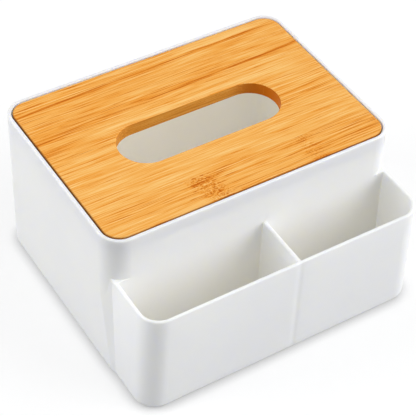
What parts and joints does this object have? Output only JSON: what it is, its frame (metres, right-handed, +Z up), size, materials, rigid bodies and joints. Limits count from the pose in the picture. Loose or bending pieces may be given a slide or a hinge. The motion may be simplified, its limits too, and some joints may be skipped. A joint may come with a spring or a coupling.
{
  "type": "tissue box with tray",
  "caption": "White tissue box with rounded corners, a slotted bamboo lid that lifts out of its rim, and an open divided tray moulded on the front.",
  "frame": {"origin": "middle of the footprint at floor level, between the tray's front and the box's back", "axes": "+X to the right along the wide side, +Y to the back away from the tray, +Z up"},
  "size_m": [0.2, 0.1784, 0.1087],
  "materials": {
    "white_plastic": "satin injection moulding",
    "bamboo": "sanded and clear lacquered, satin",
    "pad_rubber": "matt"
  },
  "bodies": {
    "box": {"body_shell": "white_plastic", "foot_pad_front_left": "pad_rubber", "foot_pad_front_right": "pad_rubber", "foot_pad_back_left": "pad_rubber", "foot_pad_back_right": "pad_rubber"},
    "lid": {"lid_strip_back_3": "bamboo", "lid_strip_back_2": "bamboo", "lid_strip_back_1": "bamboo", "lid_strip_slot_left": "bamboo", "lid_strip_slot_right": "bamboo", "lid_strip_front_1": "bamboo", "lid_strip_front_2": "bamboo"}
  },
  "joints": [
    {"name": "lid_lift", "type": "slide", "parent": "box", "child": "lid", "axis": [0, 0, 1], "range_m": [0, 0.06]}
  ]
}
